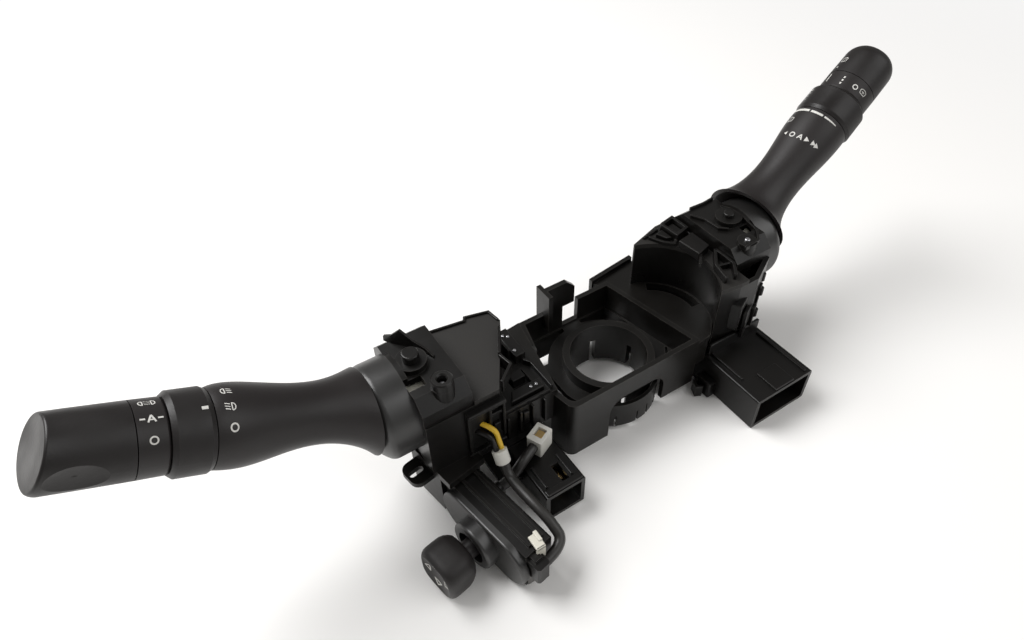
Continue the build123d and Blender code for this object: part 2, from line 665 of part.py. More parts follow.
def tilt_bracket():
    """Saddle under the left case that clasps the far end of the tilt switch, with a slotted lug."""
    back = -bezel_thickness - tilt_case_depth
    outer = (-bezel_thickness + 0.1, -bezel_thickness + 2.1)
    inner = (back - 2.2, back - 0.2)
    body = block(inner[0], outer[1], saddle_far, saddle_near, saddle_low, saddle_top)
    body += block(outer[0], outer[1], saddle_far, -bezel_length / 2 - 0.6, -9, saddle_top)
    body += block(inner[0], inner[1], saddle_far, -20, -6, saddle_top)
    body += block(inner[0], outer[1], -tilt_case_far - 2.2, -tilt_case_far - 0.1, -9, saddle_top)
    corner = [e for e in body.edges().filter_by(Axis.X) if e.center().Y < saddle_far + 0.1
              and e.center().Z < 0]
    body = fillet(corner, 5)
    lug = Pos(outer[1] + lug_reach / 2 - 1, saddle_far + 8, saddle_low - 2) * Box(lug_reach + 2, 11, 2.2)
    lug = fillet([e for e in lug.edges().filter_by(Axis.Z) if e.center().X > outer[1]], 3.5)
    lug -= Pos(outer[1] + 4, saddle_far + 8, saddle_low - 2) * extrude(SlotOverall(6, 2.6), 5, both=True)
    body += lug
    for y in (saddle_far + 4, saddle_far + 8.6):
        body += block(inner[1], outer[0], y - 0.7, y + 0.7, saddle_low - 3, saddle_top - 1)
    for x, y in saddle_screws:
        body -= post(screw_radius + seat, x, y, 0, saddle_top + 1)
        body -= post(screw_head_radius + clearance, x, y, 0, saddle_low)
    px, py, pz = left_pivot
    ball_room = Pos(left_face_x - 3, py, pz) * Rot(0, 90, 0) * Cylinder(ball_side_radius + 0.4, 10.6)
    return tilt_frame * body - ball_room


def saddle_screw_pair():
    """Two pan-head screws through the saddle into the left case."""
    screws = []
    for x, y in saddle_screws:
        shank = post(screw_radius, x, y, saddle_low - 0.5, saddle_top + case_floor - 0.4)
        head = fillet(post(screw_head_radius, x, y, saddle_low - screw_head, saddle_low).edges()
                      .sort_by(Axis.Z)[0], 0.8)
        screws.append(tilt_frame * (shank + head))
    return Compound(screws)


# ---------------------------------------------------------------- leads of the tilt and reach switch
lead_radius = 2.0
wire_radius = 1.0
ferrule_radius, ferrule_length = 2.9, 5.5
ferrule_top = Vector(-65.0, -18.9, 26.6)
ferrule_axis = Vector(0, -0.5, -sqrt(0.75))
ferrule_end = ferrule_top + ferrule_axis * ferrule_length
plug_gland = (-9.0, tilt_case_near + 3.0, 3.5)


def to_world(point):
    """Point of the tilt switch's frame in the part's frame."""
    return (tilt_frame * Pos(*point)).position


lead_exit = to_world(plug_gland)
lead_inward = to_world((plug_gland[0] - 9.9, plug_gland[1], plug_gland[2]))
switch_lead_route = [ferrule_end, ferrule_end + ferrule_axis * 5.5, Vector(-64.8, -32.0, 17.6),
                     Vector(-64.0, -40.0, 18.0), Vector(-62.4, -48.0, 16.2), lead_inward, lead_exit]
branch_gland = (-bezel_thickness - tilt_case_depth - 2.4, -9.0, 4.0)
branch_start = to_world(branch_gland)
branch_second = to_world((branch_gland[0] - 6.0, branch_gland[1], branch_gland[2]))
branch_end = Vector(-50.4, -19.4, 17.2)
branch_plug_heading = 24.3
branch_third = branch_end - Vector(6.8, 0, 0).rotate(Axis.Z, branch_plug_heading)
branch_lead_route = [branch_start, branch_second, branch_third, branch_end]
yellow_end = ferrule_top + Vector(1.1, 0, 0)
yellow_wire_route = [Vector(-67.6, -11.0, 35.5), Vector(-64.6, -16.2, 35.5), yellow_end - ferrule_axis * 3.9,
                     yellow_end]
black_end = ferrule_top - Vector(1.1, 0, 0)
black_wire_route = [Vector(-70.0, -11.0, 33.0), Vector(-66.9, -16.3, 33.4), black_end - ferrule_axis * 3.5,
                    black_end]


def lead(name, route, radius):
    """Round lead along straight runs joined by tangent arcs, as large as the runs allow."""
    runs = [b - a for a, b in zip(route, route[1:])]
    bends = []
    for before, after in zip(runs, runs[1:]):
        half_turn = radians(before.get_angle(after)) / 2
        bends.append(0.45 * min(before.length, after.length) / tan(half_turn))
    path = FilletPolyline(*route, radius=bends)
    tube = sweep(Plane(path @ 0, z_dir=path % 0) * Circle(radius), path=path)
    print(name, "radii", [round(b, 1) for b in bends], "length", round(path.length, 1),
          "volume ratio", round(tube.volume / (pi * radius ** 2 * path.length), 4))
    return tube


def ferrule():
    """White sleeve that gathers the two wires into the grey lead."""
    place = Plane(ferrule_top, z_dir=ferrule_axis).location
    body = place * Pos(0, 0, ferrule_length / 2) * Cylinder(ferrule_radius, ferrule_length)
    return fillet(body.edges().filter_by(GeomType.CIRCLE), 0.5)


def tilt_plug():
    """Plug on the near end of the tilt switch."""
    x0 = plug_gland[0]
    y0 = tilt_case_near
    body = block(x0, x0 + 5.6, y0, y0 + 6.0, plug_gland[2] - 4.5, plug_gland[2] + 4.5)
    body = chamfer([e for e in body.edges().filter_by(Axis.Z) if e.center().Y > y0 + 1], 0.8)
    body += block(x0 + 1.2, x0 + 4.4, y0, y0 + 3.0, plug_gland[2] + 4.4, plug_gland[2] + 5.6)
    return tilt_frame * body


def branch_plug():
    """Plug of the branch lead, standing on the left connector, with its open face up."""
    top = left_socket[5]
    body = block(0, 8.4, -3.3, 3.3, top - branch_end.Z, 3.6)
    body = fillet(body.edges().filter_by(Axis.Z), 0.6)
    body -= block(2.4, 6.8, -1.9, 1.9, 0.8, 4)
    return Pos(*branch_end) * Rot(0, 0, branch_plug_heading) * body


def branch_pin():
    """Brass pin block in the branch plug."""
    body = block(2.8, 6.4, -1.5, 1.5, 0.8, 2.4)
    return Pos(*branch_end) * Rot(0, 0, branch_plug_heading) * body


def branch_gland_boss():
    """Round gland on the inboard face of the tilt case, where the branch lead leaves."""
    x, y, z = branch_gland
    return tilt_frame * Pos(0, y, z) * rod(lead_radius + 1.0, x, -bezel_thickness - tilt_case_depth)


def boss_pins():
    """Steel pins in the screw bosses of both housings."""
    pins = []
    for side in (left_side, right_side):
        px, py, pz = side.pivot
        bx, by = px - side.sign * boss_offset[0], py + boss_offset[1]
        pin = post(boss_pin_radius, bx, by, pz + 4, pz + end_top + 1.8)
        pins.append(fillet(pin.edges().sort_by(Axis.Z)[-1], 0.5))
    return Compound(pins)


# ---------------------------------------------------------------- write the sub-parts
bracket = column_bracket()
write("column_bracket", bracket)
for name, side in (("left", left_side), ("right", right_side)):
    write(f"{name}_case", case(side))
    write(f"{name}_cover", cover_plate(side))
    write(f"{name}_ball_cover", ball_cover(side))
    write(f"{name}_yoke", yoke(side))
    write(f"{name}_contact_board", contact_board(side))
    write(f"{name}_slider", slider(side))
    write(f"{name}_detent_block", detent_block(side))
    write(f"{name}_plunger", plunger(side))
    write(f"{name}_lever_pin", lever_pin(side))
    write(f"{name}_stalk", stalk_body(side))
    write(f"{name}_spindle", spindle(side))
write("fog_collar", collar(left_side))
write("light_symbol_ring", symbol_ring(left_side))
write("light_knob", end_knob(left_side))
write("interval_collar", collar(right_side))
write("wiper_symbol_ring", symbol_ring(right_side))
write("wiper_knob", end_knob(right_side))
write("right_connector", connector(right_socket, right_case_bottom, 14, (0.25, 0.8)))
write("left_connector", connector(left_socket, left_arm_top - 16, 4, (0.3,)))
write("right_terminals", terminal_row(right_socket, 9, 2))
write("left_terminals", terminal_row(left_socket, 5, 2))
write("tilt_case", tilt_case() + branch_gland_boss())
write("tilt_bezel", tilt_bezel())
write("tilt_gimbal", tilt_gimbal())
write("tilt_stem", tilt_stem())
write("tilt_cross_pin", tilt_cross_pin())
write("tilt_knob", tilt_knob())
write("tilt_bracket", tilt_bracket())
write("saddle_screws", saddle_screw_pair())
write("wire_ferrule", ferrule())
write("switch_lead", lead("switch_lead", switch_lead_route, lead_radius))
write("branch_lead", lead("branch_lead", branch_lead_route, lead_radius))
write("yellow_wire", lead("yellow_wire", yellow_wire_route, wire_radius))
write("black_wire", lead("black_wire", black_wire_route, wire_radius))
write("tilt_plug", tilt_plug())
write("branch_plug", branch_plug())
write("branch_pin", branch_pin())
write("boss_pins", boss_pins())
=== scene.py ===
from math import atan2, cos, degrees, pi, radians, sin

import bmesh
import bpy
from mathutils import Matrix, Vector
from mathutils.bvhtree import BVHTree


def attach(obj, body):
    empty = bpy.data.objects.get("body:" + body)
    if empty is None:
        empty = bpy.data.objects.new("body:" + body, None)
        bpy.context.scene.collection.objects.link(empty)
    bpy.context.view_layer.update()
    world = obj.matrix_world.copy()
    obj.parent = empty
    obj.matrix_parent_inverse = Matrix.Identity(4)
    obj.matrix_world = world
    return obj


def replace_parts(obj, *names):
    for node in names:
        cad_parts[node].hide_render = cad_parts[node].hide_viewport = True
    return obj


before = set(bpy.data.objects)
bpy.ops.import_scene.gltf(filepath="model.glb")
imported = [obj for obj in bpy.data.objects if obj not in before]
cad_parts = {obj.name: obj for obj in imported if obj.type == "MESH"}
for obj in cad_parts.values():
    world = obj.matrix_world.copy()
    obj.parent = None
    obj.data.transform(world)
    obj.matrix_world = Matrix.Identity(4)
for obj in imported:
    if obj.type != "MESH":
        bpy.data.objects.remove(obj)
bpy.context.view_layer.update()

# ---------------------------------------------------------------- column bracket
# One black moulding of glass-filled nylon: the sleeve for the steering column, the
# walled box round it and the two arms that carry the housings.
mm = 0.001
merge_distance = 1e-6


def moulded_skin():
    """Skin of a moulding: a fine grain as a height, and slow clouds as a mask."""
    group = bpy.data.node_groups.new("moulded_skin", "ShaderNodeTree")
    side = group.interface
    for name, value in (("Grain", 900.0), ("Clouds", 60.0)):
        socket = side.new_socket(name=name, in_out="INPUT", socket_type="NodeSocketFloat")
        socket.default_value = value
    side.new_socket(name="Height", in_out="OUTPUT", socket_type="NodeSocketFloat")
    side.new_socket(name="Cloud", in_out="OUTPUT", socket_type="NodeSocketFloat")
    node, link = group.nodes.new, group.links.new
    inputs, outputs = node("NodeGroupInput"), node("NodeGroupOutput")
    place = node("ShaderNodeTexCoord")
    fine, clouds = node("ShaderNodeTexNoise"), node("ShaderNodeTexNoise")
    fine.inputs["Detail"].default_value = 3.0
    clouds.inputs["Detail"].default_value = 4.0
    link(place.outputs["Object"], fine.inputs["Vector"])
    link(place.outputs["Object"], clouds.inputs["Vector"])
    link(inputs.outputs["Grain"], fine.inputs["Scale"])
    link(inputs.outputs["Clouds"], clouds.inputs["Scale"])
    link(fine.outputs["Fac"], outputs.inputs["Height"])
    link(clouds.outputs["Fac"], outputs.inputs["Cloud"])
    return group


def worn_edges():
    """A mask that is 1 on the sharp edges of a moulding, broken up by a fine noise."""
    group = bpy.data.node_groups.new("worn_edges", "ShaderNodeTree")
    group.interface.new_socket(name="Mask", in_out="OUTPUT", socket_type="NodeSocketFloat")
    node, link = group.nodes.new, group.links.new
    outputs = node("NodeGroupOutput")
    rounded = node("ShaderNodeBevel")
    rounded.samples = 6
    rounded.inputs["Radius"].default_value = 0.45 * mm
    flat = node("ShaderNodeNewGeometry")
    dot = node("ShaderNodeVectorMath")
    dot.operation = "DOT_PRODUCT"
    link(rounded.outputs["Normal"], dot.inputs[0])
    link(flat.outputs["Normal"], dot.inputs[1])
    edge = node("ShaderNodeMapRange")
    edge.inputs["From Min"].default_value = 0.995
    edge.inputs["From Max"].default_value = 0.80
    link(dot.outputs["Value"], edge.inputs["Value"])
    place, patches = node("ShaderNodeTexCoord"), node("ShaderNodeTexNoise")
    patches.inputs["Scale"].default_value = 300.0
    link(place.outputs["Object"], patches.inputs["Vector"])
    spread = node("ShaderNodeMapRange")
    spread.inputs["From Min"].default_value = 0.35
    spread.inputs["From Max"].default_value = 0.60
    spread.inputs["To Min"].default_value = 0.35
    link(patches.outputs["Fac"], spread.inputs["Value"])
    both = node("ShaderNodeMath")
    both.operation = "MULTIPLY"
    link(edge.outputs["Result"], both.inputs[0])
    link(spread.outputs["Result"], both.inputs[1])
    link(both.outputs["Value"], outputs.inputs["Mask"])
    return group


skin_group, edge_group = moulded_skin(), worn_edges()


def plastic(name, colour, edge_colour, roughness, grain=900.0, depth=0.02, clouds=60.0, spread=0.12,
            metal=0.0, gleam=0.5):
    """A moulding: colour and shine drift over it and its edges are rubbed lighter."""
    material = bpy.data.materials.new(name)
    material.use_nodes = True
    tree = material.node_tree
    node, link = tree.nodes.new, tree.links.new
    surface = tree.nodes["Principled BSDF"]
    surface.inputs["Metallic"].default_value = metal
    surface.inputs["Specular IOR Level"].default_value = gleam
    skin, edges = node("ShaderNodeGroup"), node("ShaderNodeGroup")
    skin.node_tree, edges.node_tree = skin_group, edge_group
    skin.inputs["Grain"].default_value = grain
    skin.inputs["Clouds"].default_value = clouds
    tint, worn = node("ShaderNodeMix"), node("ShaderNodeMix")
    tint.data_type = worn.data_type = "RGBA"
    tint.inputs["A"].default_value = (*[c * 0.8 for c in colour], 1)
    tint.inputs["B"].default_value = (*[c * 1.25 for c in colour], 1)
    worn.inputs["B"].default_value = (*edge_colour, 1)
    link(skin.outputs["Cloud"], tint.inputs["Factor"])
    link(edges.outputs["Mask"], worn.inputs["Factor"])
    link(tint.outputs["Result"], worn.inputs["A"])
    link(worn.outputs["Result"], surface.inputs["Base Color"])
    shine = node("ShaderNodeMapRange")
    shine.inputs["From Min"].default_value = 0.3
    shine.inputs["From Max"].default_value = 0.7
    shine.inputs["To Min"].default_value = roughness - spread / 2
    shine.inputs["To Max"].default_value = roughness + spread / 2
    link(skin.outputs["Cloud"], shine.inputs["Value"])
    link(shine.outputs["Result"], surface.inputs["Roughness"])
    bump = node("ShaderNodeBump")
    bump.inputs["Strength"].default_value = 0.6
    bump.inputs["Distance"].default_value = depth * mm
    link(skin.outputs["Height"], bump.inputs["Height"])
    link(bump.outputs["Normal"], surface.inputs["Normal"])
    return material


def dress(material, *nodes):
    """Gives CAD nodes one material all over."""
    for name in nodes:
        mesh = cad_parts[name].data
        mesh.materials.clear()
        mesh.materials.append(material)


def mount(name, data, material, body):
    """Makes an object of a mesh or curve, gives it its material and lets it ride on a body."""
    data.materials.append(material)
    made = bpy.data.objects.new(name, data)
    bpy.context.scene.collection.objects.link(made)
    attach(made, body)
    return made


def mesh_of(name, shape):
    """Turns a finished bmesh into a mesh."""
    mesh = bpy.data.meshes.new(name)
    shape.to_mesh(mesh)
    shape.free()
    return mesh


def piece(name, shape, material, body, smooth=False):
    """Mounts a moulded piece, with its seams merged and its faces turned outwards."""
    bmesh.ops.remove_doubles(shape, verts=shape.verts, dist=merge_distance)
    bmesh.ops.recalc_face_normals(shape, faces=shape.faces)
    mesh = mesh_of(name, shape)
    if smooth:
        mesh.shade_smooth()
    return mount(name, mesh, material, body)


def join(shape, made):
    """Adds one bmesh to another."""
    bmesh.ops.recalc_face_normals(made, faces=made.faces)
    spare = bpy.data.meshes.new("spare")
    made.to_mesh(spare)
    made.free()
    shape.from_mesh(spare)
    bpy.data.meshes.remove(spare)


def slab(shape, corners, low, high, edge=0.2):
    """Upright prism over a run of corners, in millimetres, with rounded edges."""
    made = bmesh.new()
    base = [made.verts.new((x * mm, y * mm, low * mm)) for x, y in corners]
    face = made.faces.new(base)
    risen = bmesh.ops.extrude_face_region(made, geom=[face])["geom"]
    up = [v for v in risen if isinstance(v, bmesh.types.BMVert)]
    bmesh.ops.translate(made, verts=up, vec=(0, 0, (high - low) * mm))
    if edge:
        bmesh.ops.bevel(made, geom=made.edges[:], offset=edge * mm, segments=2, profile=0.5, affect="EDGES",
                        material=-1)
    join(shape, made)


def box(shape, across, along, low, high, edge=0.2):
    """Upright block between two places across and two along, in millimetres."""
    (left, right), (near, far) = across, along
    slab(shape, [(left, near), (right, near), (right, far), (left, far)], low, high, edge)


def rib(shape, points, width, low, high, edge=0.2):
    """Standing wall of even width along a run of points, mitred where it turns."""
    line = [Vector(p) for p in points]
    left, right = [], []
    for i, p in enumerate(line):
        before = (p - line[i - 1]).normalized() if i else (line[1] - p).normalized()
        after = (line[i + 1] - p).normalized() if i + 1 < len(line) else before
        along = (before + after).normalized()
        reach = width / 2 / max(along.dot(before), 0.4)
        across = Vector((-along.y, along.x)) * reach
        left.append(p + across)
        right.append(p - across)
    slab(shape, left + right[::-1], low, high, edge)


def pin(shape, place, radius, low, high, crown=0.0, sides=24):
    """Round upright pin or boss with a rounded top edge."""
    made = bmesh.new()
    where = Matrix.Translation((place[0] * mm, place[1] * mm, (low + high) / 2 * mm))
    bmesh.ops.create_cone(made, cap_ends=True, segments=sides, radius1=radius * mm, radius2=radius * mm,
                          depth=(high - low) * mm, matrix=where)
    if crown:
        top = [e for e in made.edges if min(v.co.z for v in e.verts) > (high - 1e-3) * mm]
        bmesh.ops.bevel(made, geom=top, offset=crown * mm, segments=3, profile=0.5, affect="EDGES",
                        material=-1)
    join(shape, made)


def tube(shape, place, inner, outer, low, high, lip=0.5):
    """Upright screw boss: a round wall about an open hole, with chamfered lips."""
    made = bmesh.new()
    section = [(inner, low), (outer, low), (outer, high - lip), (outer - lip, high), (inner + lip, high),
               (inner, high - lip)]
    line = [made.verts.new(((place[0] + r) * mm, place[1] * mm, z * mm)) for r, z in section]
    edges = [made.edges.new(pair) for pair in zip(line, line[1:] + line[:1])]
    bmesh.ops.spin(made, geom=line + edges, cent=(place[0] * mm, place[1] * mm, 0), axis=(0, 0, 1),
                   angle=2 * pi, steps=36, use_merge=True)
    join(shape, made)


bracket_plastic = plastic("bracket_plastic", (0.0055, 0.0049, 0.0042), (0.045, 0.042, 0.038), 0.36,
                          gleam=0.34)
dress(bracket_plastic, "column_bracket")

# outer band of the sleeve, which stands out of the arch in the near wall, with its comb of slots
band_outer, band_wall = 21.6, 1.5
band_low, band_high = -0.4, 12.6
band_start, band_end, band_steps = -131.0, -49.0, 72
slot_height, slot_steps = 6.0, 2
slot_starts = (-118.0, -92.0, -77.0, -62.0)
band = bmesh.new()
start = Vector((band_outer * cos(radians(band_start)), band_outer * sin(radians(band_start)), 0))
line = [band.verts.new((start + Vector((0, 0, z))) * mm)
        for z in (band_low, band_low + slot_height, band_high)]
edges = [band.edges.new(pair) for pair in zip(line, line[1:])]
bmesh.ops.spin(band, geom=line + edges, cent=(0, 0, 0), axis=(0, 0, 1),
               angle=radians(band_end - band_start), steps=band_steps)
slots = []
for face in band.faces:
    middle = face.calc_center_median()
    step = (degrees(atan2(middle.y, middle.x)) - band_start) * band_steps / (band_end - band_start)
    cut = any(0 < step - round((a - band_start) * band_steps / (band_end - band_start)) < slot_steps
              for a in slot_starts)
    if cut and middle.z < (band_low + slot_height) * mm:
        slots.append(face)
bmesh.ops.delete(band, geom=slots, context="FACES")
bmesh.ops.recalc_face_normals(band, faces=band.faces)
bmesh.ops.solidify(band, geom=band.faces[:], thickness=band_wall * mm)
piece("sleeve_band", band, bracket_plastic, "housing")

# ---------------------------------------------------------------- left housing
# Black case with a flat, matt cover plate.  Round the upright pivot stand a pointed
# fin, the pivot's post and the screw boss; clips and small pins stand on the arm.
case_plastic = plastic("case_plastic", (0.0045, 0.004, 0.0036), (0.045, 0.042, 0.039), 0.33, gleam=0.32)
cover_plastic = plastic("cover_plastic", (0.0125, 0.0112, 0.0098), (0.03, 0.028, 0.026), 0.6, depth=0.06,
                        grain=1500.0, gleam=0.4)
steel = plastic("steel", (0.5, 0.5, 0.52), (0.7, 0.7, 0.7), 0.28, metal=1.0)
nylon = plastic("natural_nylon", (0.6, 0.58, 0.5), (0.75, 0.73, 0.68), 0.45)
board_green = plastic("board_green", (0.05, 0.15, 0.07), (0.1, 0.2, 0.1), 0.4)
dress(case_plastic, "left_case", "left_detent_block")
dress(cover_plastic, "left_cover")
dress(board_green, "left_contact_board")
dress(nylon, "left_yoke", "left_slider")
dress(steel, "left_lever_pin", "left_plunger", "boss_pins", "saddle_screws")

left_top = 58.4
fin = bmesh.new()
fin_line = [(-84.6, 24.6), (-83.0, 21.4), (-80.6, 18.5), (-77.6, 14.6), (-75.2, 10.4), (-74.2, 6.6)]
fin_height = [1.6, 3.6, 7.4, 3.4, 2.0, 1.0]
sections = []
for (x, y), rise in zip(fin_line, fin_height):
    foot, crest = left_top - 0.4, left_top + rise
    sections.append([fin.verts.new((Vector((x, y, z)) + Vector((1, 0.7, 0)) * aside) * mm)
                     for aside, z in ((-0.6, foot), (-0.35, crest), (0.35, crest), (0.6, foot))])
# sides and crest only: the underside, 0.4 below the case's top, is left open
outlines = [[fin.edges.new(pair) for pair in zip(section, section[1:])] for section in sections]
for a, b in zip(outlines, outlines[1:]):
    bmesh.ops.bridge_loops(fin, edges=a + b)
for end in (sections[0], sections[-1]):
    bmesh.ops.contextual_create(fin, geom=end)
piece("left_fin", fin, case_plastic, "housing")

fittings = bmesh.new()
pin(fittings, (-82.0, 8.3), 3.1, 60.6, 64.2, crown=0.6)
tube(fittings, (-77.95, -6.8), 1.7, 3.9, left_top + 0.4, left_top + 4.4)
# raised edge of the cover and the clips at its inner end
rib(fittings, [(-67.9, 25.6), (-53.3, 23.2), (-52.3, 24.8), (-43.0, 22.4), (-42.2, 16.6)], 0.9, 49.8, 50.9)
rib(fittings, [(-44.6, 12.2), (-51.6, 0.6)], 1.0, 49.6, 52.6)
rib(fittings, [(-51.6, 0.6), (-50.6, -5.4), (-57.6, -10.8)], 1.0, 46.0, 51.8)
piece("left_fittings", fittings, case_plastic, "housing")

# ledge, jambs and ribs on the near wall, round the place where the wires come out
wall_face = -11.8
wall_ribs = bmesh.new()
for left, right, low, high, proud in ((-73.6, -58.4, 44.4, 46.2, 2.8), (-73.6, -72.4, 24.0, 45.0, 2.0),
                                      (-65.0, -58.6, 38.4, 39.8, 1.4), (-65.1, -64.1, 26.0, 45.0, 2.2),
                                      (-59.5, -58.5, 26.0, 45.0, 2.2), (-63.0, -60.4, 27.0, 33.6, 1.6),
                                      (-74.0, -58.0, 18.9, 22.4, 1.4)):
    box(wall_ribs, (left, right), (wall_face - proud, wall_face), low, high, 0.25)
piece("left_wall_ribs", wall_ribs, case_plastic, "housing")

# ---------------------------------------------------------------- left arm's clips
# On the arm between the box and the left housing: a latch block, a slanted plate
# and the ends of the rivet pins that hold the lead frame.
arm_top = 30.0
arm_foot = arm_top - 0.3
clips = bmesh.new()
rib(clips, [(-40.4, 24.8), (-40.4, 12.4)], 1.2, arm_foot, arm_top + 6.0)
slab(clips, [(-39.4, 24.6), (-34.2, 24.9), (-34.6, 9.6), (-39.4, 9.4)], arm_foot, arm_top + 4.4, 0.4)
slab(clips, [(-52.0, -7.6), (-37.4, -7.6), (-37.4, -3.2), (-49.6, -3.2)], arm_foot, arm_top + 3.0, 0.4)
rib(clips, [(-36.6, 8.6), (-34.8, 5.4), (-34.8, -8.8)], 1.1, arm_foot, arm_top + 2.6)
rib(clips, [(-58.4, -9.0), (-36.0, -9.0)], 1.0, arm_foot, arm_top + 1.6)
# dark plate under the window in the arm, which is painted shade: it hides the floor that would show through
# and stands in for the shade there
box(clips, (-48.4, -37.6), (-5.4, 7.4), 24.6, arm_top - 2.6, 0)
box(clips, (-46.0, -40.2), (5.6, 1.2), 27.2, arm_top + 1.8, 0.3)
for x in (-56.0, -50.5, -45.0, -39.5):
    box(clips, (x - 0.5, x + 0.5), (-11.8, -9.8), 17.0, arm_top - 0.4, 0.25)
box(clips, (-49.0, -46.6), (-11.2, -9.8), 21.0, 27.4, 0.3)
piece("arm_clips_and_shade_plate", clips, case_plastic, "housing")
rivets = bmesh.new()
for place, top in (((-37.8, 21.5), 34.9), ((-36.2, 20.2), 34.9), ((-42.2, -5.4), 33.5), ((-39.8, -5.4), 33.5),
                   ((-38.0, 12.4), 34.9)):
    pin(rivets, place, 0.7, arm_top + 2.0, top, crown=0.3, sides=16)
piece("arm_rivets", rivets, steel, "housing", smooth=True)

# ---------------------------------------------------------------- right housing
# Black case hollowed in an arc beside the sleeve.  Its top carries a flat pad framed
# by crossing ribs, a latch frame and the guide for the harness.
dress(case_plastic, "right_case", "right_detent_block")
dress(cover_plastic, "right_cover")
dress(board_green, "right_contact_board")
dress(nylon, "right_yoke", "right_slider")
dress(steel, "right_lever_pin", "right_plunger")
right_top = 48.0
right_foot = right_top - 0.2
ribs = bmesh.new()
frame_box = [(45.6, 24.9), (52.6, 26.2), (52.9, 17.4), (46.4, 16.0)]
rib(ribs, frame_box + frame_box[:1], 1.4, right_foot, right_top + 4.2)
slab(ribs, [(46.6, 23.6), (51.6, 24.6), (51.8, 18.6), (47.2, 17.6)], right_foot, right_top + 2.2, 0.3)
rib(ribs, [(38.0, 23.8), (40.8, 17.6), (44.0, 14.4), (46.4, 16.0)], 1.2, right_foot, right_top + 1.6)
rib(ribs, [(36.0, 24.8), (44.8, 26.2)], 1.0, right_foot, right_top + 1.2)
rib(ribs, [(52.9, 17.4), (53.6, 9.0), (49.8, 4.6), (43.0, -2.2)], 1.1, right_foot, right_top + 2.2)
rib(ribs, [(53.4, 0.4), (47.0, -6.8), (44.8, -15.0)], 1.3, right_foot, right_top + 3.4)
rib(ribs, [(53.6, -3.4), (53.4, -10.1), (49.4, -15.4)], 1.3, right_foot, right_top + 3.4)
rib(ribs, [(53.4, 0.4), (53.6, -3.4)], 1.3, right_foot, right_top + 3.4)
rib(ribs, [(47.0, -6.8), (53.4, -8.6)], 1.1, right_foot, right_top + 2.4)
slab(ribs, [(44.4, 12.6), (53.0, 14.0), (53.0, 3.4), (45.6, 1.6)], right_foot, right_top + 3.6, 0.35)
slab(ribs, [(40.6, 22.6), (44.6, 23.4), (44.8, 17.2), (42.6, 18.0)], right_foot, right_top + 2.4, 0.3)
slab(ribs, [(46.2, -16.2), (53.6, -12.6), (57.0, -18.6), (49.4, -22.4)], 24.0, 38.0, 0.5)
slab(ribs, [(52.6, -21.4), (57.4, -19.0), (58.2, -20.4), (53.4, -22.8)], 18.0, 33.0, 0.4)
piece("right_ribs", ribs, case_plastic, "housing")

right_end = 55.4
end_foot = right_end - 0.3
ends = bmesh.new()
rib(ends, [(55.4, 18.6), (58.4, 13.0), (59.0, 5.6), (62.0, 2.8)], 1.0, end_foot, right_end + 1.4)
rib(ends, [(71.8, 22.6), (66.0, 22.0), (58.6, 22.4)], 1.0, end_foot, right_end + 1.2)
rib(ends, [(71.8, 2.2), (70.4, -4.6), (66.4, -9.4), (58.4, -10.0)], 1.0, end_foot, right_end + 1.6)
pin(ends, (66.8, 8.1), 2.3, 57.6, 59.6, crown=0.5)
piece("right_end_ribs", ends, case_plastic, "housing")

side_clips = bmesh.new()
for x, y, low, high in ((72.6, -11.2, 24, 40), (69.2, -14.4, 20, 36), (63.2, -18.4, 18, 30)):
    rib(side_clips, [(x, y), (x - 3.0, y - 1.7)], 1.6, low, high, 0.4)
    pin(side_clips, (x - 1.4, y - 1.6), 1.2, high - 5.0, high - 1.0, crown=0.4)
piece("right_side_clips", side_clips, case_plastic, "housing")

# ---------------------------------------------------------------- ball covers
# Two thin black mouldings, shiny and slightly greasy, that close the housings round the
# pivots.  The stalks' flared skirts turn over their round mouths.
ball_gloss = plastic("ball_gloss", (0.011, 0.0105, 0.010), (0.03, 0.03, 0.03), 0.37, grain=400.0, depth=0.01,
                     clouds=25.0, spread=0.14, gleam=0.8)
dress(ball_gloss, "left_ball_cover", "right_ball_cover")

# ---------------------------------------------------------------- plug sockets
# Shrouds for the two harness plugs, with brass blades inside, a guide ridge on top
# and a flange where they meet the housing.
brass = plastic("brass", (0.6, 0.42, 0.18), (0.8, 0.6, 0.3), 0.3, metal=1.0)
dress(case_plastic, "right_connector", "left_connector")
dress(brass, "right_terminals", "left_terminals", "branch_pin")
sockets = bmesh.new()
rib(sockets, [(40.0, -38.0), (40.0, -20.6)], 1.0, 13.8, 15.2)
rib(sockets, [(64.8, -48.8), (64.8, -22.0)], 1.2, 13.8, 15.0)
box(sockets, (47.0, 57.6), (-49.6, -39.0), 13.8, 14.9, 0.3)
rib(sockets, [(38.4, -19.8), (66.6, -19.8)], 1.4, 13.6, 20.0, 0.4)
box(sockets, (33.4, 37.2), (-28.4, -20.2), -2.8, 5.4, 0.5)
rib(sockets, [(34.6, -20.6), (31.6, -21.2), (30.2, -24.4), (32.4, -25.6)], 1.3, -2.8, 3.4, 0.3)
# two dark plates under the left case, which are painted shade: they hide the floor seen through the gap by
# the ferrule and stand in for the shade there
box(sockets, (-65.9, -57.2), (-22.6, -4.6), 5.0, 7.2, 0.3)
box(sockets, (-58.0, -44.0), (-8.2, -3.6), 5.0, 7.2, 0.3)
box(sockets, (-56.6, -41.0), (-38.2, -35.6), 12.3, 13.4, 0.3)
rib(sockets, [(-54.8, -34.8), (-54.8, -24.6)], 1.0, 12.3, 13.6)
rib(sockets, [(-43.6, -34.8), (-43.6, -24.6)], 1.0, 12.3, 13.6)
piece("socket_ridges_and_shade_plates", sockets, case_plastic, "housing")

